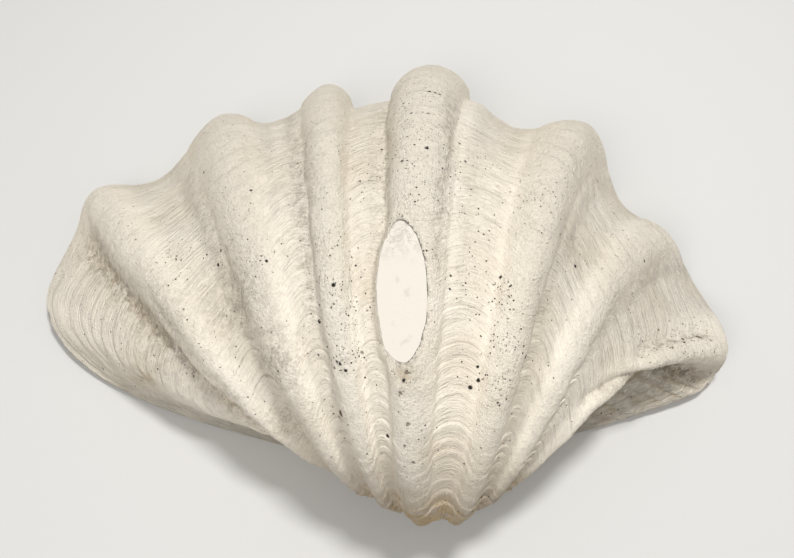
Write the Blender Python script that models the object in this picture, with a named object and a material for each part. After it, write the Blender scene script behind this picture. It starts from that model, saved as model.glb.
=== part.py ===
# Giant clam valve: one half of a giant clam shell, lying hollow side down.
# The outside is grown by rule. The open edge is a closed curve with seven
# lifted ribs. Each older growth line is that curve, made smaller and turned
# about the hinge line, so ribs and hollows coil together into the beak.
# Units are metres. X runs along the length, +Y away from the beak, +Z up.
import bpy
import bmesh
import numpy as np
from mathutils import Matrix, Vector
from math import cos, log, radians, sin

MM = 0.001

# Coil
AXIS_HEIGHT = 16 * MM
TURN = 1.50
TURN_EASE = 0.01
NARROWING = 0.975
BEAK_SHIFT = 20 * MM
SWAY = -4 * MM
SKEW = 0.165
BEAK_STAGE = 0.135

# Points on the open edge, seen from above, from the middle of the hinge and
# clockwise: direction from +Y in degrees, distance and height in mm, width of
# the edge in mm, and the number of facets on the way to the next point
EDGE = {
    "hinge middle": (90, 1, 0, 26, 4),
    "hinge left": (267, 34, 0, 26, 4),
    "ligament end": (274, 100, 2, 24, 4),
    "left wing": (278.5, 175, 3, 20, 4),
    "left wing tip": (283, 229, 6, 14, 4),
    "left corner": (289, 262, 10, 12, 4),
    "left outer groove": (299, 275, 14, 9, 4),
    "third left rib": (305, 277, 31, 8, 5),
    "groove 3-2": (314, 275, 1, 8, 5),
    "second left rib": (325, 266, 41, 8, 5),
    "groove 2-1": (334, 274, 0, 8, 5),
    "first left rib": (342, 261, 44, 8, 4),
    "groove 1-middle": (349, 268, 2, 8, 5),
    "middle rib": (358.5, 269, 46, 8, 4),
    "middle rib foot": (367, 262, 14, 8, 3),
    "middle-groove 1": (373, 257, 0, 8, 5),
    "first right rib": (384, 248, 42, 8, 5),
    "right groove 1-2": (394, 233, 1, 8, 5),
    "second right rib": (405, 210, 35, 11, 5),
    "right groove 2-3": (413, 217, 4, 11, 5),
    "third right rib": (425.5, 197, 28, 14, 4),
    "right outer groove": (429.5, 191, 5, 14, 4),
    "right corner": (432, 166, 7, 15, 4),
    "byssal edge": (434.5, 100, 3, 20, 4),
    "hinge right": (452, 34, 0, 25, 4),
}

# Growth ledges: the stages at which growth halted, as parts of full size
LEDGES = (0.80, 0.62, 0.52, 0.45, 0.385, 0.33, 0.285, 0.245, 0.21, 0.18)
LEDGE_STEP = 1.1 * MM

# Wall
WALL_MIDDLE = 4 * MM
WALL_BEAK = 9 * MM
RIB_FADE = 0.85
HOLLOW_END = 0.40
HOLLOW_POLE = (0 * MM, 20 * MM, 60 * MM)

# Hinge teeth: a shallow bed with one tooth standing in it
SOCKET_DEPTH = 3 * MM
TOOTH_X = 8 * MM
TOOTH_HALF = 9 * MM

# Flat ground oval on the middle rib: where it is on the crest, how far it
# leans to the left in degrees, and how deep it is cut
GROUND_STAGE = 0.483
GROUND_LEAN = 11
GROUND_DEPTH = 5.0 * MM
GROUND_CUTTER = (44 * MM, 130 * MM, 30 * MM)


def edge_points():
    points = []
    for azimuth, reach, height, width, facets in EDGE.values():
        a = radians(azimuth)
        points.append((reach * sin(a) * MM, reach * cos(a) * MM, height * MM, width * MM))
    return np.array(points)


def edge_curve():
    """A smooth closed curve through the edge points, with its edge width."""
    pts = edge_points()
    facets = [row[4] for row in EDGE.values()]
    n = len(pts)
    out = []
    for i in range(n):
        p0, p1, p2, p3 = pts[i - 1], pts[i], pts[(i + 1) % n], pts[(i + 2) % n]
        for k in range(facets[i]):
            t = k / facets[i]
            out.append(0.5 * (2 * p1 + (p2 - p0) * t + (2 * p0 - 5 * p1 + 4 * p2 - p3) * t * t
                              + (3 * p1 - p0 - 3 * p2 + p3) * t ** 3))
    out = np.array(out)
    out[:, 2] = np.maximum(out[:, 2], 0.0)
    return out


def grow(curve, stage):
    """The growth line of a stage: the curve made smaller and coiled."""
    q = log(1 / stage)
    turn = TURN * q + TURN_EASE * q * q
    twist = SKEW * q
    x = stage ** NARROWING * curve[:, 0]
    y = stage * curve[:, 1]
    z = stage * (curve[:, 2] - AXIS_HEIGHT)
    x, y = x * cos(twist) - y * sin(twist), x * sin(twist) + y * cos(twist)
    x = x + SWAY * 4 * stage * (1 - stage) + BEAK_SHIFT * (1 - stage)
    y, z = y * cos(turn) - z * sin(turn), y * sin(turn) + z * cos(turn) + AXIS_HEIGHT
    return np.column_stack((x, y, z))


def line_normals(curve, stage):
    """Outward unit normals along a growth line."""
    here = grow(curve, stage)
    along = np.roll(here, -1, axis=0) - np.roll(here, 1, axis=0)
    older = grow(curve, stage * 0.99) - grow(curve, stage * 1.01)
    normal = np.cross(along, older)
    return normal / np.linalg.norm(normal, axis=1)[:, None]


def smooth_step(low, high, value):
    t = min(max((value - low) / (high - low), 0.0), 1.0)
    return t * t * (3 - 2 * t)


curve = edge_curve()
columns = len(curve)
edge = curve[:, :3]
azimuth = np.degrees(np.arctan2(edge[:, 0], edge[:, 1]))
ventral = np.clip((100 - np.abs(azimuth)) / 18, 0, 1)[:, None]

# Outer growth lines, in pairs where a ledge stands proud of the next line
stages = [1.0, 0.955, 0.90, 0.85]
for ledge in LEDGES:
    stages += [ledge, ledge * 0.985]
    if ledge > 0.4:
        stages.append(ledge * 0.93)
stages += [0.157, BEAK_STAGE]
rings = []
for stage in stages:
    ring = grow(edge, stage)
    proud = max((LEDGE_STEP * min(1.0, 0.45 + stage) for ledge in LEDGES
                 if abs(stage - ledge * 0.985) < 1e-6), default=0.0)
    rings.append(ring + line_normals(edge, stage) * proud * ventral)

# Beak: the last line closed by a low dome
last = rings[-1]
middle = last.mean(axis=0)
onward = middle - grow(edge, BEAK_STAGE * 1.05).mean(axis=0)
onward = onward / np.linalg.norm(onward)
for shrink, rise in ((0.72, 2.2), (0.36, 3.4)):
    rings.append(middle + (last - middle) * shrink + onward * rise * MM)
beak_tip = middle + onward * 3.8 * MM

# Inner edge: the open edge moved inward over its own width
low = np.array((-95 * MM, 62 * MM))
high = np.array((62 * MM, 62 * MM))
inner = edge.copy()
for i in range(columns):
    xy = edge[i, :2]
    target = np.array((min(max(xy[0], low[0]), high[0]), low[1]))
    way = (target - xy) / np.linalg.norm(target - xy)
    inner[i, :2] = xy + way * curve[i, 3]
    inner[i, 2] = max(edge[i, 2] * 0.92 - 1 * MM, 0.0)

# Inner lines: the same growth, drawn in towards the middle, with fading ribs
inner_stages = (0.965, 0.91, 0.84, 0.76, 0.68, 0.60, 0.52, 0.455, HOLLOW_END)
inward = np.zeros((columns, 3))
for i in range(columns):
    xy = inner[i, :2]
    target = np.array((min(max(xy[0], low[0]), high[0]), 120 * MM))
    inward[i, :2] = (target - xy) / np.linalg.norm(target - xy)
inner_rings = [inner]
pole = np.array(HOLLOW_POLE)
for stage in inner_stages:
    fade = RIB_FADE * smooth_step(1.0, 0.60, stage)
    wall = WALL_MIDDLE * smooth_step(1.0, 0.85, stage)
    wall += (WALL_BEAK - WALL_MIDDLE) * smooth_step(0.85, HOLLOW_END, stage)
    faded = inner.copy()
    faded[:, 2] = inner[:, 2] * (1 - fade)
    faded += inward * wall / stage * (0.25 + 0.75 * ventral)
    faded[:, 2] -= 0.8 * wall / stage * ventral[:, 0]
    ring = grow(faded, stage)
    gather = smooth_step(0.66, HOLLOW_END * 0.92, stage) ** 1.3
    ring = ring * (1 - gather) + pole * gather
    ring[:, 2] = np.maximum(ring[:, 2], 2 * MM)
    inner_rings.append(ring)

# Edge face between the outer and the inner edge, with hinge teeth
face_rings = []
for part in (0.3, 0.7):
    ring = edge * (1 - part) + inner * part
    hinge = np.clip((80 * MM - np.abs(ring[:, 0])) / (40 * MM), 0, 1)
    hinge = hinge * (ring[:, 1] < 40 * MM)
    tooth = np.exp(-((ring[:, 0] - TOOTH_X) / TOOTH_HALF) ** 2)
    ring[:, 2] += hinge * (1 - tooth) * SOCKET_DEPTH
    face_rings.append(ring)


def build_mesh(name, lines, first_tip, last_tip):
    """One closed body from a run of closed lines with a tip at each end."""
    bm = bmesh.new()
    rows = [[bm.verts.new(Vector(p)) for p in line] for line in lines]
    for lower, upper in zip(rows, rows[1:]):
        for i in range(columns):
            j = (i + 1) % columns
            bm.faces.new((lower[i], lower[j], upper[j], upper[i]))
    for row, tip in ((rows[0], first_tip), (rows[-1], last_tip)):
        point = bm.verts.new(Vector(tip))
        for i in range(columns):
            bm.faces.new((row[i], row[(i + 1) % columns], point))
    bmesh.ops.triangulate(bm, faces=bm.faces)
    bmesh.ops.recalc_face_normals(bm, faces=bm.faces)
    if bm.calc_volume(signed=True) < 0:
        bmesh.ops.reverse_faces(bm, faces=bm.faces)
    mesh = bpy.data.meshes.new(name)
    bm.to_mesh(mesh)
    bm.free()
    return mesh


# Clear the scene
for thing in list(bpy.data.objects):
    bpy.data.objects.remove(thing, do_unlink=True)

shell_material = bpy.data.materials.new("shell")
shell_material.use_nodes = True
principled = shell_material.node_tree.nodes["Principled BSDF"]
principled.inputs["Base Color"].default_value = (0.72, 0.68, 0.60, 1)
principled.inputs["Roughness"].default_value = 0.75

collection = bpy.data.collections.new("giant_clam_shell")
bpy.context.scene.collection.children.link(collection)

lines = rings[::-1] + face_rings + inner_rings
mesh = build_mesh("clam_valve", lines, beak_tip, pole)
valve = bpy.data.objects.new("clam_valve", mesh)
valve.data.materials.append(shell_material)
collection.objects.link(valve)

# Ground oval: cut flat across the crest of the middle rib
names = list(EDGE)
crest = sum(EDGE[n][4] for n in names[:names.index("middle rib")])
spot = Vector(grow(edge, GROUND_STAGE)[crest])
normal = Vector(line_normals(edge, GROUND_STAGE)[crest])
if normal.z < 0:
    normal = -normal
normal.rotate(Matrix.Rotation(radians(-GROUND_LEAN), 3, "Y"))
centre = spot - normal * GROUND_DEPTH
bpy.ops.mesh.primitive_cube_add(size=1)
cutter = bpy.context.active_object
cutter.data.transform(Matrix.Diagonal((*GROUND_CUTTER, 1)))
cutter.data.transform(Matrix.Translation((0, 0, GROUND_CUTTER[2] / 2)))
cutter.data.transform(normal.to_track_quat("Z", "Y").to_matrix().to_4x4())
cutter.data.transform(Matrix.Translation(centre))
cut = valve.modifiers.new("ground", "BOOLEAN")
cut.operation = "DIFFERENCE"
cut.solver = "EXACT"
cut.object = cutter
bpy.context.view_layer.objects.active = valve
valve.select_set(True)
bpy.ops.object.modifier_apply(modifier="ground")
bpy.data.objects.remove(cutter, do_unlink=True)

# Row frame: middle of the footprint at the origin, lowest point at zero
points = np.array([v.co for v in valve.data.vertices])
low, high = points.min(axis=0), points.max(axis=0)
shift = Vector((-(low[0] + high[0]) / 2, -(low[1] + high[1]) / 2, -low[2]))
valve.data.transform(Matrix.Translation(shift))
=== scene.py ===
from math import cos, pi, radians, sin, sqrt

import bmesh
import bpy
import numpy as np
from mathutils import Matrix, Vector, noise


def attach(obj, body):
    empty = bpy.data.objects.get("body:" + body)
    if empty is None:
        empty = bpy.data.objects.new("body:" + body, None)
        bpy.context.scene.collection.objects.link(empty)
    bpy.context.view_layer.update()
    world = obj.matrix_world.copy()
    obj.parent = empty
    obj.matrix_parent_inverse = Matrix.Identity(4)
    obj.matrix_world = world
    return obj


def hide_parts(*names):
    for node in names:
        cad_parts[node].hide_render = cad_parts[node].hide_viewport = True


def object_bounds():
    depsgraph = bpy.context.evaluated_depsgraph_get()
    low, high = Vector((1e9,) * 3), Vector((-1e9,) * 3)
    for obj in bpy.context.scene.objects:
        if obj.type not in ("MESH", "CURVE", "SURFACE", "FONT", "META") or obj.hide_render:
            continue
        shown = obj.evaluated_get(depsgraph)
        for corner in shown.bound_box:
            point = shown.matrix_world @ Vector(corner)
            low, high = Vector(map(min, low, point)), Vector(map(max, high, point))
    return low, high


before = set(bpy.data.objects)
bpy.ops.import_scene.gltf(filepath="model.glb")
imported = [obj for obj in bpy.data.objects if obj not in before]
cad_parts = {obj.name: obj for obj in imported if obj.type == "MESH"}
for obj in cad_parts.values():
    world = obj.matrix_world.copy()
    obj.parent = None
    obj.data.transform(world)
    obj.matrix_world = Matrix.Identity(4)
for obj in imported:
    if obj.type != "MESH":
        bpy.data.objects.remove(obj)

cad_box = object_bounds()


# The valve. One half of a giant clam shell: chalky aragonite outside, worn and
# pitted on the ribs, smooth and porcelain-like in the hollow. It is grown: the
# open edge made smaller and turned about the hinge gives every older line.
MM = 0.001

# Coil about the hinge: a turn for each shrinking by e, and the sideways drift
AXIS_HEIGHT = 16 * MM
TURN = 1.50
TURN_EASE = 0.01
NARROWING = 0.975
BEAK_SHIFT = 20 * MM
SWAY = -4 * MM
SKEW = 0.165
BEAK_STAGE = 0.135

# Points on the open edge, seen from above, from the middle of the hinge and
# clockwise: direction from +Y in degrees, distance, height and width in mm
EDGE = {
    "hinge middle": (90, 1, 0, 26),
    "hinge left": (267, 34, 0, 26),
    "ligament end": (274, 100, 2, 24),
    "left wing": (278.5, 175, 3, 20),
    "left wing tip": (283, 229, 6, 14),
    "left corner": (289, 262, 10, 12),
    "left outer groove": (299, 275, 14, 9),
    "third left rib": (305, 277, 31, 8),
    "groove 3-2": (314, 275, 1, 8),
    "second left rib": (325, 266, 41, 8),
    "groove 2-1": (334, 274, 0, 8),
    "first left rib": (342, 261, 44, 8),
    "groove 1-middle": (349, 268, 2, 8),
    "middle rib": (358.5, 269, 46, 8),
    "middle rib foot": (367, 262, 14, 8),
    "middle-groove 1": (373, 257, 0, 8),
    "first right rib": (384, 248, 42, 8),
    "right groove 1-2": (394, 233, 1, 8),
    "second right rib": (405, 210, 35, 11),
    "right groove 2-3": (413, 217, 4, 11),
    "third right rib": (425.5, 197, 28, 14),
    "right outer groove": (429.5, 191, 5, 14),
    "right corner": (432, 166, 7, 15),
    "byssal edge": (434.5, 100, 3, 20),
    "hinge right": (452, 34, 0, 25),
}
RIB_RISE = 12 * MM
FOOT_CLIMB = 0.41
COLUMN_SPACING = 3.4 * MM
MIDDLE_SPACING = 2.5 * MM
HINGE_SPACING = 7.5 * MM

# Growth halts: each band of shell ends in a worn lip over the next one
CREST_LENGTH = 0.270 * sqrt(1 + TURN ** 2)
BAND_NEW = (12 * MM, 24 * MM)
BAND_OLD = (5.5 * MM, 10.5 * MM)
OLD_STAGE = 0.52
LIP_DROP = 1.5 * MM
LIP_WORN = 0.25 * MM
LIP_FRESH = 1.6 * MM

# Wall, hollow and hinge
WALL_MIDDLE = 4 * MM
WALL_BEAK = 9 * MM
RIB_FADE = 0.85
HOLLOW_END = 0.40
HOLLOW_POLE = (0, 20 * MM, 60 * MM)
HINGE_SPAN = (-95 * MM, 62 * MM)
SOCKET_DEPTH = 3 * MM
TOOTH_X = 8 * MM
TOOTH_HALF = 9 * MM

# Ground oval on the middle rib: where it is, its lean in degrees, its depth in
# the rib, its half width and length, and how far its middle is off the crest
GROUND_STAGE = 0.483
GROUND_LEAN = 11
GROUND_DEPTH = 5.0 * MM
GROUND_HALF = (12.8 * MM, 34.5 * MM)
GROUND_OFFSET = (-5.2 * MM, 0.5 * MM)
GROUND_DROP = -25 * MM
RIM_SWELL = 1.6 * MM
RIM_SUNK = 0.8 * MM


def edge_curve():
    """A smooth closed curve through the edge points, and each named point's column.

    Each column also gets the furrow, the crest and the climb between them that it
    lies on, once for the newest shell at the edge and once for the oldest at the
    beak, and a mark for a rib's foot.
    """
    points = []
    for azimuth, reach, height, width in EDGE.values():
        a = radians(azimuth)
        points.append((reach * sin(a) * MM, reach * cos(a) * MM, height * MM, width * MM))
    points = np.array(points)
    names = list(EDGE)
    count = len(points)
    curve, slopes, starts = [], [], {}
    for i, name in enumerate(names):
        starts[name] = len(curve)
        p0, p1, p2, p3 = (points[(i + k) % count] for k in (-1, 0, 1, 2))
        spacing = COLUMN_SPACING
        if name in ("groove 1-middle", "middle rib", "middle rib foot"):
            spacing = MIDDLE_SPACING
        if name in ("hinge middle", "hinge left", "ligament end", "byssal edge", "hinge right"):
            spacing = HINGE_SPACING
        steps = max(4, round(np.linalg.norm((p2 - p1)[:3]) / spacing))
        low, high = sorted((p1[2], p2[2]))
        for k in range(steps):
            t = k / steps
            curve.append(0.5 * (2 * p1 + (p2 - p0) * t + (2 * p0 - 5 * p1 + 4 * p2 - p3) * t * t
                                + (3 * p1 - p0 - 3 * p2 + p3) * t ** 3))
            climb = t if p2[2] > p1[2] else 1 - t
            young = (low, high, climb) if high - low > RIB_RISE else (0, 0, 0)
            old = young
            if name in ("middle rib", "middle rib foot"):
                climb = 1 - (1 - FOOT_CLIMB) * t if name == "middle rib" else FOOT_CLIMB * (1 - t)
                old = (0, EDGE["middle rib"][2] * MM, climb)
            foot = 0.0
            if name in ("left outer groove", "groove 3-2", "groove 2-1", "groove 1-middle"):
                foot = max(0.0, 1 - abs(t - 0.32) / 0.34)
            slopes.append(young + old + (foot,))
    curve = np.array(curve)
    curve[:, 2] = np.maximum(curve[:, 2], 0)
    return curve, np.array(slopes), starts


def grow(curve, stage):
    """The growth line of a stage: the curve made smaller and coiled."""
    q = np.log(1 / stage)
    turn = TURN * q + TURN_EASE * q * q
    twist = SKEW * q
    x = stage ** NARROWING * curve[:, 0]
    y = stage * curve[:, 1]
    z = stage * (curve[:, 2] - AXIS_HEIGHT)
    x, y = x * np.cos(twist) - y * np.sin(twist), x * np.sin(twist) + y * np.cos(twist)
    x = x + SWAY * 4 * stage * (1 - stage) + BEAK_SHIFT * (1 - stage)
    y, z = y * np.cos(turn) - z * np.sin(turn), y * np.sin(turn) + z * np.cos(turn)
    return np.column_stack((x, y, z + AXIS_HEIGHT))


def soft(low, high, value):
    """0 below low, 1 above high and smooth between; low may be above high."""
    t = np.clip((value - low) / (high - low), 0, 1)
    return t * t * (3 - 2 * t)


def rough(points, scale, octaves=4):
    """Fractal noise about 0 at each point, with lumps of the given size."""
    return np.array([noise.fractal(Vector(p / scale), 0.9, 2.1, octaves) for p in points])


curve, slopes, column_of = edge_curve()
edge = curve[:, :3]
columns = len(curve)
relief = edge[:, 2] / (EDGE["middle rib"][2] * MM)
azimuth = np.degrees(np.arctan2(edge[:, 0], edge[:, 1]))
ventral = np.clip((100 - np.abs(azimuth)) / 18, 0, 1)
off_hinge = np.abs(azimuth) < 95
floor_of = soft(0.55, 0.10, relief)


def quarter_rounds(low, high, climb, turn, dip):
    """From furrow to crest in two quarter rounds that meet at turn of the way and dip of the height."""
    furrow = dip * (1 - np.sqrt(1 - np.clip(climb / turn, 0, 1) ** 2))
    crest = dip + (1 - dip) * np.sqrt(1 - np.clip((1 - climb) / (1 - turn), 0, 1) ** 2)
    return low + (high - low) * np.where(climb < turn, furrow, crest)


def ribbed(stage):
    """The edge with its ribs: half a log on a sharp foot in new shell, even arches in old."""
    older = float(soft(0.80, 0.42, stage))
    low, high, climb = slopes[:, :3].T
    log = 0.12 + 0.70 * soft(20, 9, np.abs(azimuth + 1)) + 0.22 * soft(34, 20, np.abs(azimuth))
    log *= soft(62, 52, np.abs(azimuth))
    turn = np.where(low > 0.01, 0.30, 0.40 + 0.08 * soft(9, 20, np.abs(azimuth)))
    young = edge[:, 2] * (1 - log) + log * quarter_rounds(low, high, climb, turn, 0.06)
    young = np.where(high > low, young, edge[:, 2])
    beyond = np.abs(high - EDGE["middle rib foot"][2] * MM) < 1e-6
    young = np.where(beyond, low + (high - low) * climb ** 1.7, young)
    low, high, climb = slopes[:, 3:6].T
    even = 0.30 + 0.40 * soft(46, 20, np.abs(azimuth))
    even *= 0.35 + 0.65 * float(soft(0.20, 0.28, stage))
    plain = np.where(high > low, low + (high - low) * climb ** 2 * (3 - 2 * climb), edge[:, 2])
    old = plain * (1 - even) + even * quarter_rounds(low, high, climb, 0.52, 0.48)
    old = np.where(high > low, old, edge[:, 2])
    return np.column_stack((edge[:, :2], young * (1 - older) + old * older))


# Rows: three close together at each lip and an even run between
draw = np.random.default_rng(7)
rows = []
length = 0.0
while True:
    stage = 1 - length / CREST_LENGTH
    gap = draw.uniform(*(BAND_OLD if stage < OLD_STAGE else BAND_NEW))
    strength = draw.uniform(0.35, 1.0) * draw.choice((0.45, 1.0))
    end = min(length + gap, CREST_LENGTH * (1 - BEAK_STAGE))
    step = 1.8 * MM if stage < OLD_STAGE else 3.4 * MM
    start = length + LIP_DROP
    steps = max(1, round((end - start) / step))
    rows += [(length, 0.0, strength), (length + 0.3 * LIP_DROP, 0.55, strength)]
    rows += [(start + k * (end - start) / steps, 1 - k / steps, strength) for k in range(steps)]
    if end >= CREST_LENGTH * (1 - BEAK_STAGE) - 3 * MM:
        break
    length = end
stages = np.array([1 - r[0] / CREST_LENGTH for r in rows])

# Growth lines waver a little, so no two bands are quite parallel. The waver and
# the chips are shares of the edge's own size
WAVER = 0.0022
CHIP = 0.0015
CORNER_CHIP = 0.014
waver = np.array([[noise.noise(Vector((c * 0.05, s * 12, 5.1))) for c in range(columns)] for s in stages])
around = np.minimum(1, np.minimum(np.arange(columns), columns - np.arange(columns)) / 20)
waver *= WAVER * around * ventral * soft(1.0, 0.97, stages)[:, None]

# The open edge is chipped, most on its thin corners
chip = np.array([max(0, noise.noise(Vector((c * 0.45, 2.7, 0))) + 0.15) for c in range(columns)])
chip *= around * (CHIP + CORNER_CHIP * soft(66, 73, np.abs(azimuth)))
waver -= chip[None, :] * soft(0.985, 1.0, stages)[:, None]
grid = []
for stage, drift in zip(stages, waver):
    line = ribbed(stage)
    grid.append(grow(line, stage + drift))
grid = np.array(grid)
along = np.roll(grid, -1, axis=1) - np.roll(grid, 1, axis=1)
older = np.gradient(grid, axis=0)
normals = np.cross(older, along)
for step in (1, 2, 3):
    normals = normals * 2 + np.roll(normals, step, axis=1) + np.roll(normals, -step, axis=1)
normals /= np.linalg.norm(normals, axis=2)[:, :, None]

# How far the shell stands proud of its plain growth lines: the lips, then lumps
# and grit, and a dark crevice in front of each lip
LUMP_HEIGHT = 1.3 * MM
GRIT_HEIGHT = 0.42 * MM
SWELL_HEIGHT = 0.7 * MM
wing = np.maximum(soft(-66, -72, azimuth), soft(69.5, 72, azimuth)) * off_hinge
fresh = np.maximum(floor_of * soft(0.68, 0.42, stages)[:, None], 0.35 * wing[None, :])
fresh = np.maximum(fresh, 0.75 * soft(0.34, 0.24, stages)[:, None])
relief = np.maximum(relief, 0.42 * soft(-66, -72, azimuth) * (azimuth > -95))
rise = np.array([[r[1]] for r in rows])
strength = np.array([[r[2]] for r in rows])
proud = rise * strength * (LIP_WORN + (LIP_FRESH - LIP_WORN) * fresh) * ventral
crevice = (rise == 0) * strength * (0.2 + 0.8 * fresh) * ventral
flat = grid.reshape(-1, 3)
calm = np.minimum(1, stages * 2.2)[:, None] * soft(1.0, 0.96, stages)[:, None]
lumps = rough(flat, 48 * MM, 3).reshape(proud.shape)
grit = rough(flat, 11 * MM, 3).reshape(proud.shape)
swell = np.array([noise.noise(Vector((s * CREST_LENGTH / (17 * MM), 0.3, 0))) for s in stages])
proud += calm * ventral * (LUMP_HEIGHT * lumps + GRIT_HEIGHT * grit)
proud += swell[:, None] * SWELL_HEIGHT * calm * ventral * (0.4 + 0.6 * floor_of)


def follow(path, width):
    """1 along a path of (stage, azimuth) points, fading to its sides over a width in degrees."""
    path = sorted(path)
    line = np.interp(stages, [p[0] for p in path], [p[1] for p in path])
    oldest, youngest = path[0][0], path[-1][0]
    ends = soft(oldest - 0.05, oldest + 0.03, stages) * soft(youngest + 0.05, youngest - 0.03, stages)
    off = (azimuth[None, :] - line[:, None]) / width
    return np.exp(-off ** 2) * ends[:, None] * off_hinge[None, :]


# Creases beside the ribs, the deep outer grooves and the swollen wing: each a
# path of (stage, azimuth) points, a width in degrees and a depth or height in mm
LEFT_GROOVE = ((0.92, -61.5), (0.70, -63.2), (0.55, -63.6), (0.46, -65.0), (0.38, -68.5))
RIGHT_HOLLOW = ((0.46, 60.5), (0.56, 64.2), (0.63, 66.9), (0.76, 70.0), (0.96, 70.8))
MIDDLE_LEFT = ((0.48, -6.8), (0.57, -7.2), (0.80, -7.6))
MIDDLE_RIGHT = ((0.50, 4.2), (0.60, 4.1), (0.80, 3.4))
FIRST_LEFT = ((0.44, -25.5), (0.52, -24.5), (0.74, -22.3))
creases = np.zeros(proud.shape)
for path, width, depth in ((LEFT_GROOVE, 2.9, 3.6), (RIGHT_HOLLOW, 1.7, 4.4), (MIDDLE_LEFT, 1.5, 1.2),
                           (MIDDLE_RIGHT, 1.4, 0.6), (FIRST_LEFT, 2.6, 1.2)):
    crease = follow(path, width)
    proud -= crease * depth * MM
    creases = np.maximum(creases, crease)
WING_BELLY = ((0.95, -70.5), (0.50, -73))
THIRD_LEFT_FLANK = ((0.93, -58.0), (0.70, -59.8), (0.46, -61.5))
THIRD_RIGHT_BULGE = ((0.97, 67.9), (0.84, 67.7), (0.66, 66.0))
THIRD_RIGHT_END = ((1.0, 69.0), (0.90, 69.0))
WING_LIP_GROOVE = ((0.97, -84), (0.80, -80), (0.70, -78.5))
for path, width, height in ((WING_BELLY, 5.0, 3.2), (THIRD_LEFT_FLANK, 2.2, 2.2),
                            (THIRD_RIGHT_BULGE, 1.5, 3.8), (THIRD_RIGHT_END, 2.2, 3.0),
                            (WING_LIP_GROOVE, 2.2, -1.2)):
    proud += follow(path, width) * height * MM
# A groove above the bulge of the third right rib
shelf = follow(((0.93, 64.3), (0.80, 63.4), (0.66, 61.8)), 1.5)
proud -= shelf * 4.4 * MM

# Rough corners, ledges on the right one, and small riblets at the beak
RAGGED_HEIGHT = 1.3 * MM
LEDGE_HEIGHT = 1.8 * MM
RIBLET_HEIGHT = 0.35 * MM
RIBLET_COLUMNS = 4.4
ragged = np.maximum(soft(-76, -81, azimuth), soft(71, 72.5, azimuth)) * off_hinge
ragged = ragged[None, :] * soft(1.0, 0.985, stages)[:, None]
proud += ragged * rough(flat, 8 * MM, 4).reshape(proud.shape) * RAGGED_HEIGHT
ledges = np.array([noise.noise(Vector((s * CREST_LENGTH / (8 * MM), 4.3, 0))) for s in stages])
proud += ragged * (azimuth > 0) * ledges[:, None] * LEDGE_HEIGHT
riblets = np.cos(np.arange(columns) * 2 * pi / RIBLET_COLUMNS) * soft(8, 12, azimuth) * soft(22, 17, azimuth)
proud += RIBLET_HEIGHT * riblets[None, :] * soft(0.27, 0.22, stages)[:, None]
outer = grid + normals * proud[:, :, None]

# The flange below the third right rib: hollow above, streaked along its length
# and flared like a brim at the open edge
FLARE = 2.8 * MM
UNDERCUT = 6.0 * MM
STREAK_WIDTH = 3.4 * MM
STREAK_DEPTH = 1.9 * MM
first, final = column_of["right outer groove"], column_of["byssal edge"]
brim = soft(first - 1, first + 6, np.arange(columns)) * soft(final + 8, final - 4, np.arange(columns))
sideways = normals * (1, 1, 0)
sideways /= np.linalg.norm(sideways, axis=2)[:, :, None] + 1e-9
flare = FLARE * soft(0.88, 0.99, stages) - UNDERCUT * np.exp(-((stages - 0.80) / 0.08) ** 2)
outer += sideways * (brim[None, :] * flare[:, None])[:, :, None]
across = np.linalg.norm(np.diff(outer[np.argmin(np.abs(stages - 0.80))], axis=0), axis=1)
across = np.concatenate(([0], np.cumsum(across)))
streaks = np.array([[noise.noise(Vector((x / STREAK_WIDTH, s * 5, 7.7))) if b > 0 else 0
                     for x, b in zip(across, brim)] for s in stages])
streaks *= brim[None, :] * soft(1.0, 0.97, stages)[:, None] * soft(0.45, 0.60, stages)[:, None]
outer += sideways * (streaks * STREAK_DEPTH)[:, :, None]

# The ground oval is a true oval: the rib is level with its plane along its rim
crest = column_of["middle rib"]
ring = grow(edge, GROUND_STAGE)
spot = ring[crest]
younger = grow(edge, GROUND_STAGE * 1.004)[crest] - grow(edge, GROUND_STAGE * 0.996)[crest]
ground_normal = Vector(np.cross(ring[crest + 1] - ring[crest - 1], younger))
ground_normal.normalize()
if ground_normal.z < 0:
    ground_normal.negate()
ground_normal.rotate(Matrix.Rotation(radians(-GROUND_LEAN), 3, "Y"))
ground_centre = Vector(spot) - ground_normal * GROUND_DEPTH
ground_side = Vector((0, 1, 0)).cross(ground_normal).normalized()
ground_run = ground_normal.cross(ground_side)
from_centre = outer - np.array(ground_centre)
aside = from_centre @ np.array(ground_side) - GROUND_OFFSET[0]
upward = from_centre @ np.array(ground_run) - GROUND_OFFSET[1]
above = from_centre @ np.array(ground_normal)
reach = np.sqrt((aside / GROUND_HALF[0]) ** 2 + (upward / GROUND_HALF[1]) ** 2)
reach += 0.05 * rough(flat, 9 * MM, 2).reshape(reach.shape)
reach[above < GROUND_DROP] = 9
pressed = above + soft(1.38, 1.0, reach) * (RIM_SWELL * (1 - reach ** 2) - above)
beside = (reach > 1) & (reach < 2.2) & (above > GROUND_DROP)
lowered = np.minimum(pressed, -RIM_SUNK * (1 - soft(1.25, 1.0, reach)))
outer += (np.where(beside, lowered, pressed) - above)[:, :, None] * np.array(ground_normal)
grime_rim = np.exp(-((reach - 1.03) / 0.05) ** 2)


def patches(spots):
    """Soft round patches at (azimuth, stage, radius in mm, strength) on the shell."""
    total = np.zeros(proud.shape)
    for az, stage, radius, strength in spots:
        i = int(np.argmin(np.abs(stages - stage)))
        j = int(np.argmin(np.abs(azimuth - az) + 99 * (edge[:, 1] < -1 * MM)))
        far = np.linalg.norm(grid - grid[i, j], axis=2)
        total = np.maximum(total, strength * np.exp(-(far / (radius * MM)) ** 2))
    return total


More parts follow.
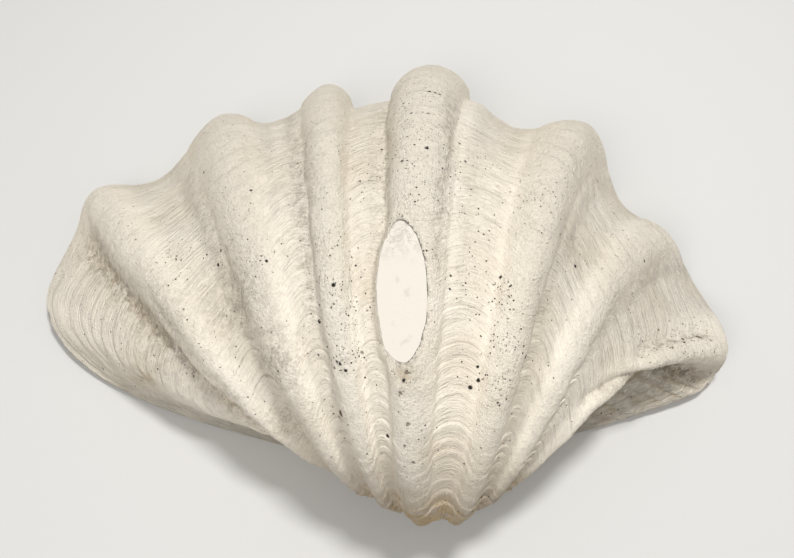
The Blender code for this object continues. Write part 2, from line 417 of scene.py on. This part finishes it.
# Where the shell is bored, stained, dirty or dug out, as in the photograph, where painted shade darkens it
# and where painted light lightens it
bored = patches(((-2, 0.66, 30, 0.9), (-3, 0.76, 20, 0.8), (-2, 0.57, 14, 0.7), (-17, 0.54, 16, 0.7),
                 (-17, 0.48, 18, 0.9), (-18, 0.43, 14, 1.0), (-33.6, 0.576, 9, 1.0), (-51, 0.66, 11, 0.8),
                 (-41, 0.60, 10, 0.6), (11.7, 0.46, 16, 0.5), (20, 0.486, 12, 0.9), (22.7, 0.44, 13, 1.0),
                 (22, 0.40, 12, 1.0), (23, 0.62, 16, 0.5), (62.7, 0.70, 9, 0.8), (65, 0.80, 10, 0.9),
                 (-2.3, 0.40, 6, 1.0), (-1.5, 0.345, 6, 0.8), (-21, 0.36, 8, 0.6)))
stains_and_shade = patches(((-74, 0.68, 11, 1.0), (-76, 0.73, 9, 0.8), (-2.3, 0.40, 4, 0.8), (6, 0.30, 8, 0.5),
                   (1, 0.20, 20, 2.2), (14, 0.19, 16, 2.0), (-18, 0.20, 14, 1.5), (55, 0.23, 9, 1.0),
                   (-11, 0.46, 4, 0.5)))
bored = np.maximum(bored, shelf)
dug = patches(((-3.1, 0.414, 1.5, 1.0), (-1.4, 0.405, 1.3, 1.0), (-2.9, 0.385, 1.0, 0.9),
               (-0.9, 0.356, 1.3, 1.0), (-2.2, 0.331, 1.0, 0.9), (0.3, 0.312, 1.0, 0.8),
               (64.6, 0.90, 1.9, 1.0), (2.5, 0.345, 1.0, 0.9)))
# Painted shade, brown, along the deep left groove; and browner in the valleys of the flange's streaks
stains_and_shade = np.maximum(stains_and_shade, 0.45 * follow(LEFT_GROOVE, 3.0))
stains_and_shade = np.maximum(stains_and_shade, 1.6 * np.clip(-streaks, 0, 0.6))
# Grime with painted shade: grime in patches, and painted shade along the creases, about the beak and on the
# low left of the shell
grime_and_shade = np.maximum(creases * 0.8, patches(((-42, 0.52, 26, 1.0), (-39, 0.44, 22, 1.0), (-60, 0.60, 26, 0.8),
                                           (-62, 0.42, 20, 0.9), (33, 0.60, 16, 0.5), (30, 0.50, 14, 0.6),
                                           (0, 0.19, 20, 1.2), (14, 0.18, 14, 1.1), (-20, 0.22, 14, 0.8),
                                           (-45, 0.34, 22, 0.8), (-2, 0.40, 9, 0.5))))
# Painted shade with some grime on the feet of the left ribs, where the next rib shades them
foot_dirt_and_shade = slopes[:, 6] * (soft(0.95, 0.80, stages) * soft(0.30, 0.45, stages))[:, None]
grime_and_shade = np.maximum(grime_and_shade, 0.6 * foot_dirt_and_shade)
# Painted shade: a dark line in the groove above the bulge of the third right rib
grime_and_shade = np.maximum(grime_and_shade, 1.3 * follow(((0.93, 64.9), (0.80, 64.0), (0.66, 62.4)), 0.7))
# Painted shade, dark and brown, in the hollow under the third right rib and along the deep left groove
hollow_shade = np.exp(-((np.arange(columns) - first - 2) / 2.4) ** 2)[None, :] * soft(0.40, 0.55, stages)[:, None]
hollow_shade *= soft(0.97, 0.88, stages)[:, None]
grime_and_shade += 1.5 * hollow_shade + 0.55 * follow(LEFT_GROOVE, 2.0)
stains_and_shade = np.maximum(stains_and_shade, 0.9 * hollow_shade)

# Painted light: lighter along the third left rib, on the flange, on the wing and in patches on the ribs,
# where the light falls most
painted_light = 0.9 * follow(((0.97, -54.0), (0.45, -58.5)), 5.0)
painted_light = np.maximum(painted_light, brim[None, :] * (1 - hollow_shade))
painted_light = np.maximum(painted_light, follow(((0.97, -69.0), (0.62, -72.0)), 7.0))
painted_light = np.maximum(painted_light, patches(((27, 0.70, 26, 0.9), (14, 0.62, 22, 0.7), (-27, 0.56, 14, 0.6),
                                   (-11, 0.30, 16, 0.6), (11, 0.34, 16, 0.7), (5, 0.36, 10, 0.5),
                                   (-34, 0.72, 22, 0.6), (-48, 0.62, 22, 0.9), (-82, 0.90, 30, 0.9),
                                   (66, 0.95, 16, 0.8))))

# One wide bore hole left of the middle
i = int(np.argmin(np.abs(stages - 0.342)))
j = int(np.argmin(np.abs(azimuth + 22.7) + 99 * (edge[:, 1] < 0)))
bore_hole = Vector(outer[i, j])

# Beak: the last line closed by a low dome
last = outer[-1]
middle = last.mean(axis=0)
onward = middle - grow(edge, BEAK_STAGE * 1.05).mean(axis=0)
onward /= np.linalg.norm(onward)
beak = [middle + (last - middle) * k + onward * r * MM
        for k, r in ((0.25, 3.4), (0.5, 3.0), (0.75, 2.0), (0.92, 0.9))]
beak_tip = middle + onward * 3.6 * MM

# Inner edge and the lines of the hollow
target = np.column_stack((np.clip(edge[:, 0], *HINGE_SPAN), np.full(columns, 62 * MM)))
way = target - edge[:, :2]
way /= np.linalg.norm(way, axis=1)[:, None]
inner = edge.copy()
inner[:, :2] += way * curve[:, 3:4]
inner[:, 2] = np.maximum(edge[:, 2] * 0.92 - 1 * MM, 0)
target = np.column_stack((np.clip(inner[:, 0], *HINGE_SPAN), np.full(columns, 120 * MM)))
way = target - inner[:, :2]
inward = np.column_stack((way / np.linalg.norm(way, axis=1)[:, None], np.zeros(columns)))
pole = np.array(HOLLOW_POLE)
hollow = [inner]
hollow_stages = np.linspace(1, HOLLOW_END, 22)[1:]
for stage in hollow_stages:
    fade = RIB_FADE * soft(1.0, 0.60, stage)
    wall = WALL_MIDDLE * soft(1.0, 0.85, stage)
    wall += (WALL_BEAK - WALL_MIDDLE) * soft(0.85, HOLLOW_END, stage)
    faded = inner.copy()
    faded[:, 2] = inner[:, 2] * (1 - fade) - 0.8 * wall / stage * ventral
    faded += inward * (wall / stage * (0.25 + 0.75 * ventral))[:, None]
    ring = grow(faded, stage)
    gather = soft(0.66, HOLLOW_END * 0.92, stage) ** 1.3
    ring = ring * (1 - gather) + pole * gather
    ring[:, 2] = np.maximum(ring[:, 2], 2 * MM)
    hollow.append(ring)
rim = []
for part in (0.06, 0.3, 0.5, 0.7, 0.94):
    ring = outer[0] * (1 - part) + inner * part
    hinge = np.clip((80 * MM - np.abs(ring[:, 0])) / (40 * MM), 0, 1) * (ring[:, 1] < 40 * MM)
    tooth = np.exp(-((ring[:, 0] - TOOTH_X) / TOOTH_HALF) ** 2)
    bed = sin(pi * part) ** 0.5
    ring[:, 2] += hinge * (1 - tooth) * SOCKET_DEPTH * bed
    rim.append(ring)

lines = beak + list(outer[::-1]) + rim + hollow
kind = ([(BEAK_STAGE, 0)] * len(beak) + [(s, 0) for s in stages[::-1]]
        + [(1, 0)] * len(rim) + [(1, 1)] + [(s, 1) for s in hollow_stages])


def whole(mark):
    """A mark on the outer lines, as one value for every point of the mesh's lines."""
    return np.vstack((np.repeat(mark[-1:], len(beak), axis=0), mark[::-1],
                      np.repeat(mark[:1] * 0.3, len(rim), axis=0), np.zeros((len(hollow), columns)))).ravel()


def valve_mesh():
    """One closed mesh from the run of lines, with its growth coordinates."""
    points = [tuple(p) for line in lines for p in line]
    tips = (len(points), len(points) + 1)
    points += [tuple(beak_tip), tuple(pole)]
    faces, across, down = [], [], []
    for r in range(len(lines) - 1):
        for c in range(columns):
            d = (c + 1) % columns
            faces.append((r * columns + c, r * columns + d, (r + 1) * columns + d, (r + 1) * columns + c))
            across += [c, c + 1, c + 1, c]
            down += [r, r, r + 1, r + 1]
    end = (len(lines) - 1) * columns
    for c in range(columns):
        d = (c + 1) % columns
        faces.append((d, c, tips[0]))
        faces.append((end + c, end + d, tips[1]))
        across += [c + 1, c, c + 0.5, c, c + 1, c + 0.5]
        down += [0, 0, 0, len(lines) - 1, len(lines) - 1, len(lines) - 1]
    mesh = bpy.data.meshes.new("clam_valve")
    mesh.from_pydata(points, [], faces)
    across = np.array(across) / columns
    down = np.array(down)
    stage = np.array([k[0] for k in kind])[down]
    growth = mesh.uv_layers.new(name="growth")
    growth.data.foreach_set("uv", np.column_stack((across, (1 - stage) * CREST_LENGTH)).ravel())
    steps = [0] + [float(np.median(np.linalg.norm(b - a, axis=1))) for a, b in zip(lines, lines[1:])]
    run = np.cumsum(steps)
    bake = mesh.uv_layers.new(name="OFBake")
    bake.data.foreach_set("uv", np.column_stack((across, run[down] / run[-1])).ravel())
    for name, values in (("relief", np.tile(relief, len(lines))),
                         ("stage", np.repeat([k[0] for k in kind], columns)),
                         ("inside", np.repeat([k[1] for k in kind], columns)),
                         ("crevice", whole(crevice)), ("bored", whole(bored)), ("stains_and_shade", whole(stains_and_shade)),
                         ("grime_and_shade", whole(grime_and_shade)), ("painted_light", whole(painted_light)), ("dug", whole(dug)),
                         ("ground rim", whole(grime_rim))):
        layer = mesh.attributes.new(name, "FLOAT", "POINT")
        layer.data.foreach_set("value", np.append(values, (values[0], values[-1])).astype(np.float32))
    return mesh


mesh = valve_mesh()
valve = bpy.data.objects.new("giant_clam_valve", mesh)
bpy.context.scene.collection.objects.link(valve)

# Ground oval: sliced flat across the middle rib, with a crisp edge
bm = bmesh.new()
bm.from_mesh(mesh)
faces = []
for f in bm.faces:
    away = f.calc_center_median() - ground_centre
    if (abs(away.dot(ground_side)) < 1.5 * GROUND_HALF[0] and abs(away.dot(ground_run)) < 1.3 * GROUND_HALF[1]
            and away.dot(ground_normal) > -11 * MM):
        faces.append(f)
# Each edge and corner once, in a fixed order, so that every run gives the same mesh
edges = dict.fromkeys(e for f in faces for e in f.edges)
corners = dict.fromkeys(v for f in faces for v in f.verts)
cut = bmesh.ops.bisect_plane(bm, geom=[*faces, *edges, *corners], plane_co=ground_centre,
                             plane_no=ground_normal, clear_outer=True, dist=1e-7)
loop = [e for e in cut["geom_cut"] if isinstance(e, bmesh.types.BMEdge) and e.is_boundary]
made = bmesh.ops.contextual_create(bm, geom=loop)
for e in loop:
    e.smooth = False
bmesh.ops.recalc_face_normals(bm, faces=bm.faces)
ground_layer = bm.verts.layers.float.new("ground")
for f in made["faces"]:
    for v in f.verts:
        v[ground_layer] = 1.0
    for layer in bm.loops.layers.uv.values():
        for corner in f.loops:
            neighbours = [c for c in corner.vert.link_loops if c.face is not f]
            corner[layer].uv = neighbours[0][layer].uv
bmesh.ops.triangulate(bm, faces=bm.faces)
bm.to_mesh(mesh)
bm.free()
mesh.shade_smooth()

# Into the frame: the plain growth lines have the part's own footprint
centre = (flat.min(axis=0) + flat.max(axis=0)) / 2
into_frame = Matrix.Translation((-centre[0], -centre[1], 0))
mesh.transform(into_frame)
ground_centre = into_frame @ ground_centre
bore_hole = into_frame @ bore_hole
INSET = 0.1 * MM
box_low = np.array(cad_box[0]) + (INSET, INSET, 0)
box_high = np.array(cad_box[1]) - INSET
points = np.array([v.co for v in mesh.vertices])
mesh.vertices.foreach_set("co", np.clip(points, box_low, box_high).astype(np.float32).ravel())
mesh.update()


def add(tree, kind, inputs=None, **settings):
    """A node with its settings and its inputs, each a value or a socket."""
    node = tree.nodes.new(kind)
    for name, value in settings.items():
        setattr(node, name, value)
    for name, value in (inputs or {}).items():
        if isinstance(value, bpy.types.NodeSocket):
            tree.links.new(value, node.inputs[name])
        else:
            node.inputs[name].default_value = value
    return node


def math(tree, operation, *values, clamp=False):
    node = add(tree, "ShaderNodeMath", dict(enumerate(values)), operation=operation, use_clamp=clamp)
    return node.outputs[0]


def blend(tree, factor, a, b):
    return add(tree, "ShaderNodeMix", {0: factor, 6: a, 7: b}, data_type="RGBA").outputs[2]


def ramp(tree, value, low, high):
    """0 at low and 1 at high, smooth between; low may be above high."""
    node = add(tree, "ShaderNodeMapRange", {"Value": value}, interpolation_type="SMOOTHSTEP")
    flip = low > high
    node.inputs["From Min"].default_value = min(low, high)
    node.inputs["From Max"].default_value = max(low, high)
    node.inputs["To Min"].default_value = 1.0 if flip else 0.0
    node.inputs["To Max"].default_value = 0.0 if flip else 1.0
    return node.outputs[0]


def new_group(name, inputs, outputs):
    group = bpy.data.node_groups.new(name, "ShaderNodeTree")
    for label, value in inputs.items():
        kind = "NodeSocketVector" if value is None else "NodeSocketFloat"
        socket = group.interface.new_socket(label, in_out="INPUT", socket_type=kind)
        if value is not None:
            socket.default_value = value
    for label in outputs:
        group.interface.new_socket(label, in_out="OUTPUT", socket_type="NodeSocketFloat")
    return group, group.nodes.new("NodeGroupInput").outputs, group.nodes.new("NodeGroupOutput").inputs


def streaks_group():
    """Broken streaks: fine across one direction of the growth grid and long along the other."""
    group, given, out = new_group("growth streaks", {"Growth": None, "Place": None, "Across": 200.0,
                                                     "Along": 300.0, "Waver": 1.0}, ("Height",))
    drift = add(group, "ShaderNodeTexNoise", {"Vector": given["Place"], "Scale": 30.0, "Detail": 3.0})
    drift = math(group, "MULTIPLY", math(group, "SUBTRACT", drift.outputs[0], 0.5), given["Waver"])
    parts = add(group, "ShaderNodeSeparateXYZ", {"Vector": given["Growth"]})
    u = math(group, "MULTIPLY", parts.outputs["X"], given["Across"])
    v = math(group, "MULTIPLY", parts.outputs["Y"], given["Along"])
    where = add(group, "ShaderNodeCombineXYZ", {"X": u, "Y": math(group, "ADD", v, drift), "Z": drift})
    streak = add(group, "ShaderNodeTexNoise", {"Vector": where.outputs[0], "Scale": 1.0, "Detail": 3.0,
                                               "Roughness": 0.6})
    group.links.new(streak.outputs[0], out["Height"])
    return group


def pits_group():
    """Round bore pits: some cells of a scatter, each with its own size."""
    group, given, out = new_group("bore pits", {"Place": None, "Scale": 200.0, "Share": 0.1,
                                                "Size": 0.3}, ("Pit",))
    cells = add(group, "ShaderNodeTexVoronoi", {"Vector": given["Place"], "Scale": given["Scale"]})
    pick = add(group, "ShaderNodeSeparateColor", {"Color": cells.outputs["Color"]})
    chosen = math(group, "LESS_THAN", pick.outputs[0], given["Share"])
    wide = math(group, "MULTIPLY", pick.outputs[1], pick.outputs[1])
    radius = math(group, "MULTIPLY", given["Size"], math(group, "MULTIPLY_ADD", wide, 0.8, 0.4))
    inside = math(group, "DIVIDE", math(group, "SUBTRACT", radius, cells.outputs["Distance"]), radius)
    depth = math(group, "MULTIPLY", math(group, "MULTIPLY", inside, 2.2, clamp=True), chosen)
    group.links.new(depth, out["Pit"])
    return group


GROWTH_STREAKS = streaks_group()
BORE_PITS = pits_group()


def place_group(tree, group, inputs):
    return add(tree, "ShaderNodeGroup", inputs, node_tree=group).outputs


# Shell, dirt and stain colours, and the colours of painted light and shade
CREAM = (0.84, 0.76, 0.625, 1)
CHALK = (0.92, 0.855, 0.74, 1)
# Painted light: a lighter cream
PAINTED_LIGHT_CREAM = (0.97, 0.892, 0.755, 1)
# Worn grey, also used as painted shade in the hollows of the grain
WORN_AND_SHADED_GREY = (0.62, 0.545, 0.435, 1)
# Grime, also used as painted shade in creases, hollows and about the beak
GRIME_AND_SHADE = (0.33, 0.28, 0.22, 1)
TIP_BROWN = (0.30, 0.225, 0.155, 1)
OCHRE = (0.50, 0.37, 0.20, 1)
PIT_DARK = (0.016, 0.013, 0.010, 1)
HOLE_BROWN = (0.15, 0.11, 0.06, 1)
GROUND_WHITE = (0.70, 0.655, 0.58, 1)
PORCELAIN = (0.86, 0.82, 0.74, 1)


def shell_material():
    """Chalky growth-lined shell outside, porcelain in the hollow."""
    material = bpy.data.materials.new("clam shell")
    material.use_nodes = True
    tree = material.node_tree
    skin = tree.nodes["Principled BSDF"]
    place = add(tree, "ShaderNodeTexCoord").outputs["Object"]
    growth = add(tree, "ShaderNodeUVMap", uv_map="growth").outputs[0]

    def mark(name):
        return add(tree, "ShaderNodeAttribute", attribute_name=name).outputs["Fac"]

    def clouds(scale, detail, roughness=0.55):
        return add(tree, "ShaderNodeTexNoise", {"Vector": place, "Scale": scale, "Detail": detail,
                                                "Roughness": roughness}).outputs[0]

    relief_at, inside, ground, bored = mark("relief"), mark("inside"), mark("ground"), mark("bored")
    ground = math(tree, "POWER", ground, 3.0)
    crest_at = ramp(tree, relief_at, 0.35, 0.85)
    floor_at = ramp(tree, relief_at, 0.60, 0.10)
    old = ramp(tree, mark("stage"), 0.66, 0.40)
    outside = math(tree, "SUBTRACT", 1.0, math(tree, "MAXIMUM", inside, ground))
    calm = math(tree, "SUBTRACT", 1.0, math(tree, "MULTIPLY", old, 0.75))

    def streaked(across, along, waver):
        return place_group(tree, GROWTH_STREAKS, {"Growth": growth, "Place": place, "Across": across,
                                                  "Along": along, "Waver": waver})["Height"]

    lines = streaked(26.0, 560.0, math(tree, "MULTIPLY", calm, 0.8))
    threads = streaked(80.0, 1350.0, math(tree, "MULTIPLY", calm, 1.2))
    rays = streaked(900.0, 60.0, 0.6)
    patch = clouds(16.0, 4.0)
    mottle = clouds(70.0, 5.0, 0.65)
    crust = clouds(210.0, 5.0, 0.7)
    grain = clouds(620.0, 4.0, 0.7)
    dust = clouds(1500.0, 2.0, 0.6)

    # Bore pits in swarms, fine pricks, places dug out and the one wide bore hole
    swarm = ramp(tree, clouds(95.0, 3.0), 0.50, 0.62)
    share = math(tree, "MULTIPLY", swarm, math(tree, "MULTIPLY_ADD", bored, 0.85, 0.03))
    pits = place_group(tree, BORE_PITS, {"Place": place, "Scale": 320.0, "Share": share,
                                         "Size": 0.35})["Pit"]
    thin = ramp(tree, mottle, 0.35, 0.62)
    share = math(tree, "MULTIPLY", thin, math(tree, "MULTIPLY_ADD", bored, 0.8, 0.10))
    pricks = place_group(tree, BORE_PITS, {"Place": place, "Scale": 700.0, "Share": share,
                                           "Size": 0.34})["Pit"]
    pits = math(tree, "MULTIPLY", math(tree, "MAXIMUM", pits, pricks), outside)
    dug = ramp(tree, math(tree, "MULTIPLY_ADD", grain, -1.6, mark("dug")), -0.35, -0.05)
    away = add(tree, "ShaderNodeVectorMath", {0: place}, operation="SUBTRACT")
    away.inputs[1].default_value = tuple(bore_hole)
    away = add(tree, "ShaderNodeVectorMath", {0: away.outputs[0]}, operation="MULTIPLY")
    away.inputs[1].default_value = (0.85, 1.5, 1.0)
    away = add(tree, "ShaderNodeVectorMath", {0: away.outputs[0]}, operation="LENGTH")
    hole = ramp(tree, math(tree, "MULTIPLY_ADD", grain, 0.6 * MM, away.outputs["Value"]), 3.1 * MM, 2.0 * MM)

    # Cream and chalk, lighter with painted light on the crests, and greyer in the hollows between lines and
    # grains, partly worn grey and partly painted shade
    colour = blend(tree, ramp(tree, patch, 0.35, 0.65), CREAM, CHALK)
    # Painted light: the crests lighter, most on the younger shell, and the places marked for painted light
    painted_light = math(tree, "MULTIPLY", crest_at, math(tree, "MULTIPLY_ADD", old, -0.6, 0.80))
    painted_light = math(tree, "MAXIMUM", mark("painted_light"), painted_light)
    colour = blend(tree, painted_light, colour, PAINTED_LIGHT_CREAM)
    wear = math(tree, "MULTIPLY", ramp(tree, mottle, 0.52, 0.75), 0.22)
    colour = blend(tree, wear, colour, WORN_AND_SHADED_GREY)
    coarse = math(tree, "MULTIPLY_ADD", crest_at, 0.55, 0.45)
    thread_grey = math(tree, "MULTIPLY_ADD", floor_at, 0.20, 0.08)
    line_grey = math(tree, "MULTIPLY_ADD", floor_at, 0.26, 0.10)
    grain_grey = math(tree, "MULTIPLY", coarse, 0.20)
    # Painted shade, with some worn grey, in the hollows of the growth lines and grain
    for texture, shallow, deep, most in ((threads, 0.52, 0.32, thread_grey), (lines, 0.50, 0.32, line_grey),
                                         (crust, 0.48, 0.32, grain_grey), (grain, 0.47, 0.36, grain_grey)):
        shaded_hollows = ramp(tree, texture, shallow, deep)
        colour = blend(tree, math(tree, "MULTIPLY", shaded_hollows, most), colour, WORN_AND_SHADED_GREY)

    # Dirt and painted shade in the furrows and creases, dirt in crevices and specks, painted shade darker
    # towards the beak, brown at the beak partly stained and partly painted shade, and stains with painted
    # shade in the hollows
    speck = ramp(tree, grain, 0.44, 0.34)
    flecks = math(tree, "MULTIPLY", ramp(tree, crust, 0.56, 0.42), 0.7)
    flecks = math(tree, "MULTIPLY_ADD", ramp(tree, grain, 0.54, 0.40), 0.45, flecks)
    dirt_and_shade = math(tree, "MULTIPLY", mark("grime_and_shade"), flecks)
    specks = math(tree, "MULTIPLY", speck, math(tree, "MULTIPLY_ADD", bored, 0.75, 0.18))
    cloudy = math(tree, "MULTIPLY_ADD", mottle, 0.8, 0.05)
    # Painted shade: darker towards the beak, in clouds
    oldest = math(tree, "MULTIPLY", ramp(tree, mark("stage"), 0.38, 0.20), cloudy)
    old_floors = math(tree, "MULTIPLY", floor_at, math(tree, "MULTIPLY", old, 0.22))
    for more in (specks, mark("crevice"), oldest, old_floors):
        dirt_and_shade = math(tree, "MAXIMUM", dirt_and_shade, more)
    colour = blend(tree, math(tree, "MULTIPLY", dirt_and_shade, 0.66, clamp=True), colour, GRIME_AND_SHADE)
    # Brown at the beak: partly its stain, partly painted shade
    tip = math(tree, "MULTIPLY", ramp(tree, mark("stage"), 0.34, 0.16), 0.66)
    colour = blend(tree, tip, colour, TIP_BROWN)
    stain_and_shade = math(tree, "MULTIPLY", mark("stains_and_shade"), ramp(tree, mottle, 0.32, 0.60), clamp=True)
    colour = blend(tree, math(tree, "MULTIPLY", stain_and_shade, 0.75), colour, OCHRE)
    colour = blend(tree, inside, colour, blend(tree, ramp(tree, patch, 0.4, 0.7), PORCELAIN, CHALK))

    # The ground oval: white, cracked and worn at its top, with dirt along its rim
    from_oval = add(tree, "ShaderNodeVectorMath", {0: place}, operation="SUBTRACT")
    from_oval.inputs[1].default_value = tuple(ground_centre)
    up_oval = add(tree, "ShaderNodeVectorMath", {0: from_oval.outputs[0]}, operation="DOT_PRODUCT")
    up_oval.inputs[1].default_value = tuple(ground_run)
    oval_top = ramp(tree, up_oval.outputs["Value"], 12 * MM, 30 * MM)
    cracks = math(tree, "ABSOLUTE", math(tree, "SUBTRACT", clouds(130.0, 6.0, 0.6), 0.5))
    crack_share = math(tree, "MULTIPLY_ADD", oval_top, 0.6, 0.04)
    cracks = math(tree, "MULTIPLY", ramp(tree, cracks, 0.016, 0.004), crack_share)
    smudge = math(tree, "MULTIPLY", ramp(tree, clouds(120.0, 3.0), 0.58, 0.70), 0.22)
    smudge = math(tree, "MAXIMUM", smudge, cracks)
    worn_top = math(tree, "MULTIPLY", ramp(tree, crust, 0.48, 0.60), math(tree, "MULTIPLY", oval_top, 0.35))
    ground_colour = blend(tree, math(tree, "MAXIMUM", smudge, worn_top), GROUND_WHITE, GRIME_AND_SHADE)
    colour = blend(tree, ground, colour, ground_colour)
    rim_dirt = math(tree, "MULTIPLY", mark("ground rim"), ramp(tree, crust, 0.44, 0.58))
    rim_dirt = math(tree, "MULTIPLY", rim_dirt, math(tree, "SUBTRACT", 1.0, ground))
    colour = blend(tree, math(tree, "MULTIPLY", rim_dirt, 0.8), colour, GRIME_AND_SHADE)
    colour = blend(tree, pits, colour, PIT_DARK)
    colour = blend(tree, math(tree, "MULTIPLY", dug, 0.65), colour, HOLE_BROWN)
    colour = blend(tree, hole, colour, HOLE_BROWN)
    tree.links.new(colour, skin.inputs["Base Color"])

    roughness = math(tree, "MULTIPLY_ADD", math(tree, "MAXIMUM", inside, ground), -0.42, 0.84)
    tree.links.new(roughness, skin.inputs["Roughness"])
    skin.inputs["Specular IOR Level"].default_value = 0.35

    # Relief: growth lines strongest in the furrows, grain strongest on the ribs
    height = math(tree, "MULTIPLY", threads, math(tree, "MULTIPLY_ADD", floor_at, 0.50, 0.18))
    height = math(tree, "MULTIPLY_ADD", lines, math(tree, "MULTIPLY_ADD", floor_at, 1.4, 0.50), height)
    height = math(tree, "MULTIPLY", height, math(tree, "MULTIPLY_ADD", old, -0.5, 1.0))
    height = math(tree, "MULTIPLY_ADD", rays, math(tree, "MULTIPLY_ADD", crest_at, 0.25, 0.15), height)
    smooth = math(tree, "MULTIPLY", old, math(tree, "MULTIPLY_ADD", floor_at, 0.35, 0.40))
    smooth = math(tree, "SUBTRACT", 1.0, smooth)
    uneven = math(tree, "MULTIPLY_ADD", mottle, 0.9, math(tree, "MULTIPLY", crust, 1.6))
    uneven = math(tree, "MULTIPLY_ADD", grain, 1.5, uneven)
    height = math(tree, "MULTIPLY_ADD", uneven, math(tree, "MULTIPLY", smooth, coarse), height)
    height = math(tree, "MULTIPLY_ADD", dust, 0.35, height)
    height = math(tree, "MULTIPLY", height, math(tree, "MULTIPLY_ADD", outside, 0.94, 0.06))
    height = math(tree, "MULTIPLY_ADD", pits, -0.9, height)
    height = math(tree, "MULTIPLY_ADD", dug, -0.9, height)
    height = math(tree, "MULTIPLY_ADD", hole, -1.6, height)
    bump = add(tree, "ShaderNodeBump", {"Height": height, "Distance": 1.7 * MM, "Strength": 1.0})
    tree.links.new(bump.outputs[0], skin.inputs["Normal"])
    return material


mesh.materials.append(shell_material())
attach(valve, "root")
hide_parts("clam_valve")


# The table and the light. A plain pale table, one soft lamp above and a little
# behind the shell and a broader one in front on the left, and the camera where
# the photograph was taken.
bpy.ops.mesh.primitive_plane_add(size=8)
table = bpy.context.active_object
table.name = "table"
finish = bpy.data.materials.new("pale table")
finish.use_nodes = True
finish.node_tree.nodes["Principled BSDF"].inputs["Base Color"].default_value = (0.62, 0.61, 0.59, 1)
finish.node_tree.nodes["Principled BSDF"].inputs["Roughness"].default_value = 0.9
table.data.materials.append(finish)


def softbox(name, at, toward, width, watts):
    """A round soft lamp of a width in metres, aimed at a point."""
    lamp = bpy.data.lights.new(name, "AREA")
    lamp.shape = "DISK"
    lamp.size = width
    lamp.energy = watts
    holder = bpy.data.objects.new(name, lamp)
    holder.location = at
    holder.rotation_euler = (Vector(toward) - Vector(at)).to_track_quat("-Z", "Y").to_euler()
    bpy.context.scene.collection.objects.link(holder)


SHELL_MIDDLE = (0, 0, 0.05)
softbox("overhead", (0.22, 0.26, 1.36), SHELL_MIDDLE, 0.26, 14.6)
softbox("front", (-0.44, -0.93, 1.15), SHELL_MIDDLE, 0.9, 7.3)
world = bpy.data.worlds.new("room")
world.use_nodes = True
world.node_tree.nodes["Background"].inputs["Color"].default_value = (1.0, 0.99, 0.97, 1)
world.node_tree.nodes["Background"].inputs["Strength"].default_value = 0.40
bpy.context.scene.world = world
bpy.context.scene.view_settings.view_transform = "Standard"

VIEW_ELEVATION = radians(62.5)
VIEW_AZIMUTH = radians(3.9)
VIEW_DISTANCE = 0.480
VIEW_ANGLE = radians(54.8)
VIEW_TARGET = into_frame @ Vector((-0.022, 0.106, 0.030))
toward_camera = Vector((sin(VIEW_AZIMUTH) * cos(VIEW_ELEVATION), -cos(VIEW_AZIMUTH) * cos(VIEW_ELEVATION),
                        sin(VIEW_ELEVATION)))
lens = bpy.data.cameras.new("camera")
lens.angle = VIEW_ANGLE
lens.clip_start = 0.01
camera = bpy.data.objects.new("camera", lens)
camera.location = VIEW_TARGET + toward_camera * VIEW_DISTANCE
camera.rotation_euler = toward_camera.to_track_quat("Z", "Y").to_euler()
bpy.context.scene.collection.objects.link(camera)
bpy.context.scene.camera = camera
